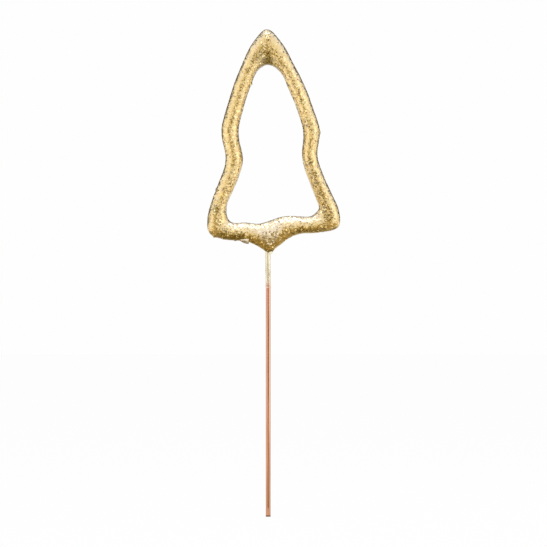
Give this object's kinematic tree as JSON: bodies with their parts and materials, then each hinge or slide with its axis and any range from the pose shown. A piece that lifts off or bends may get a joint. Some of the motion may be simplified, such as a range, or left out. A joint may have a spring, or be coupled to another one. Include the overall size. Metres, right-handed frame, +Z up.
{
  "type": "cake sparkler",
  "caption": "Sparkler in the outline of a fir tree: a bent wire dipped in spark composition and coated in gold glitter, on a straight copper-plated wire stem.",
  "frame": {"origin": "on the stem's axis, at its lower tip", "axes": "+Z up along the stem, +X to the right of the figure seen from the front, -Y out of the front, so the figure lies in the XZ plane"},
  "size_m": [0.0437, 0.0058, 0.1599],
  "materials": {
    "copper_wire": "satin",
    "spark_mix": "matte",
    "gold_glitter": "satin",
    "clear_gold_lacquer": "gloss",
    "lacquer_drop": "gloss"
  },
  "bodies": {
    "root": {"wire": "copper_wire", "spark_composition": "spark_mix", "gold_coat": "gold_glitter", "stem_lacquer": "clear_gold_lacquer", "neck_drop": "lacquer_drop"}
  },
  "joints": []
}
